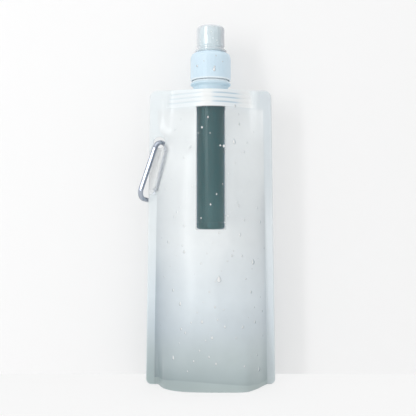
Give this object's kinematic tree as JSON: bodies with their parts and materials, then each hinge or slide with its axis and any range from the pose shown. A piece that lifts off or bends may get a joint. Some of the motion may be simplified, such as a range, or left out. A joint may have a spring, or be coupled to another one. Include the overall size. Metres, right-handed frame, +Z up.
{
  "type": "filter water bottle",
  "caption": "Foldable stand-up water pouch with a ribbed spout, a screw cap with a push-pull nozzle under a clear cover, an inner filter cartridge and a small carabiner.",
  "frame": {"origin": "on the floor, in the middle of the base, under the axis of the cap and the filter", "axes": "+Z up along the axis of the cap and the filter, -Y out of the front panel, -X towards the side seal that carries the carabiner"},
  "size_m": [0.1231, 0.0603, 0.3207],
  "materials": {
    "film": "frosted translucent film, darker towards the foot",
    "spout_plastic": "pale moulded plastic",
    "cap_plastic": "light blue moulded plastic",
    "clear_plastic": "clear and glossy",
    "filter_plastic": "dark green-grey, satin",
    "silicone": "soft, satin",
    "steel_mesh": "plain woven",
    "felt": "white felt",
    "carbon": "black granules",
    "membrane": "white fibres",
    "aluminium": "polished",
    "spring_steel": "bright wire"
  },
  "bodies": {
    "pouch": {"front_panel": "film", "back_panel": "film", "base_gusset": "film", "spout": "spout_plastic"},
    "cap_carrier": {"rim_gasket": "silicone"},
    "cap": {"screw_cap": "cap_plastic", "nozzle_o_ring": "silicone"},
    "filter": {"filter_collar": "filter_plastic", "filter_o_ring_1": "silicone", "filter_o_ring_2": "silicone", "filter_housing": "filter_plastic", "filter_end_cap": "filter_plastic", "inlet_screen": "steel_mesh", "lower_felt_pad": "felt", "carbon_bed": "carbon", "upper_felt_pad": "felt", "fibre_bundle": "membrane"},
    "nozzle": {"drinking_nozzle": "cap_plastic"},
    "cover": {"dust_cover": "clear_plastic"},
    "carabiner": {"carabiner_body": "aluminium", "gate_rivet": "aluminium"},
    "gate": {"carabiner_gate": "aluminium", "gate_plunger": "spring_steel", "gate_spring": "spring_steel"}
  },
  "joints": [
    {"name": "cap_lift", "type": "slide", "parent": "pouch", "child": "cap_carrier", "axis": [0, 0, 1], "range_m": [0, 0.008]},
    {"name": "cap_turn", "type": "hinge", "parent": "cap_carrier", "child": "cap", "pos_m": [0, 0, 0.285], "axis": [0, 0, 1], "range_deg": [0, 720]},
    {"name": "filter_pull", "type": "slide", "parent": "cap", "child": "filter", "axis": [0, 0, -1], "range_m": [0, 0.0115]},
    {"name": "nozzle_pull", "type": "slide", "parent": "cap", "child": "nozzle", "axis": [0, 0, 1], "range_m": [0, 0.005]},
    {"name": "cover_pull", "type": "slide", "parent": "nozzle", "child": "cover", "axis": [0, 0, 1], "range_m": [0, 0.026]},
    {"name": "carabiner_swing", "type": "hinge", "parent": "pouch", "child": "carabiner", "pos_m": [-0.04596, 0, 0.2173], "axis": [0, 1, 0], "range_deg": [0, 60]},
    {"name": "gate_open", "type": "hinge", "parent": "carabiner", "child": "gate", "pos_m": [-0.04993, 0.01096, 0.17554], "axis": [0.8093, -0.5446, -0.2199], "range_deg": [0, 11], "stiffness_Nm_per_rad": 0.02, "springref_deg": -22.92}
  ],
  "couplings": [
    {"joint": "cap_lift", "follows": "cap_turn", "m_per_rad": 0.0006366}
  ]
}
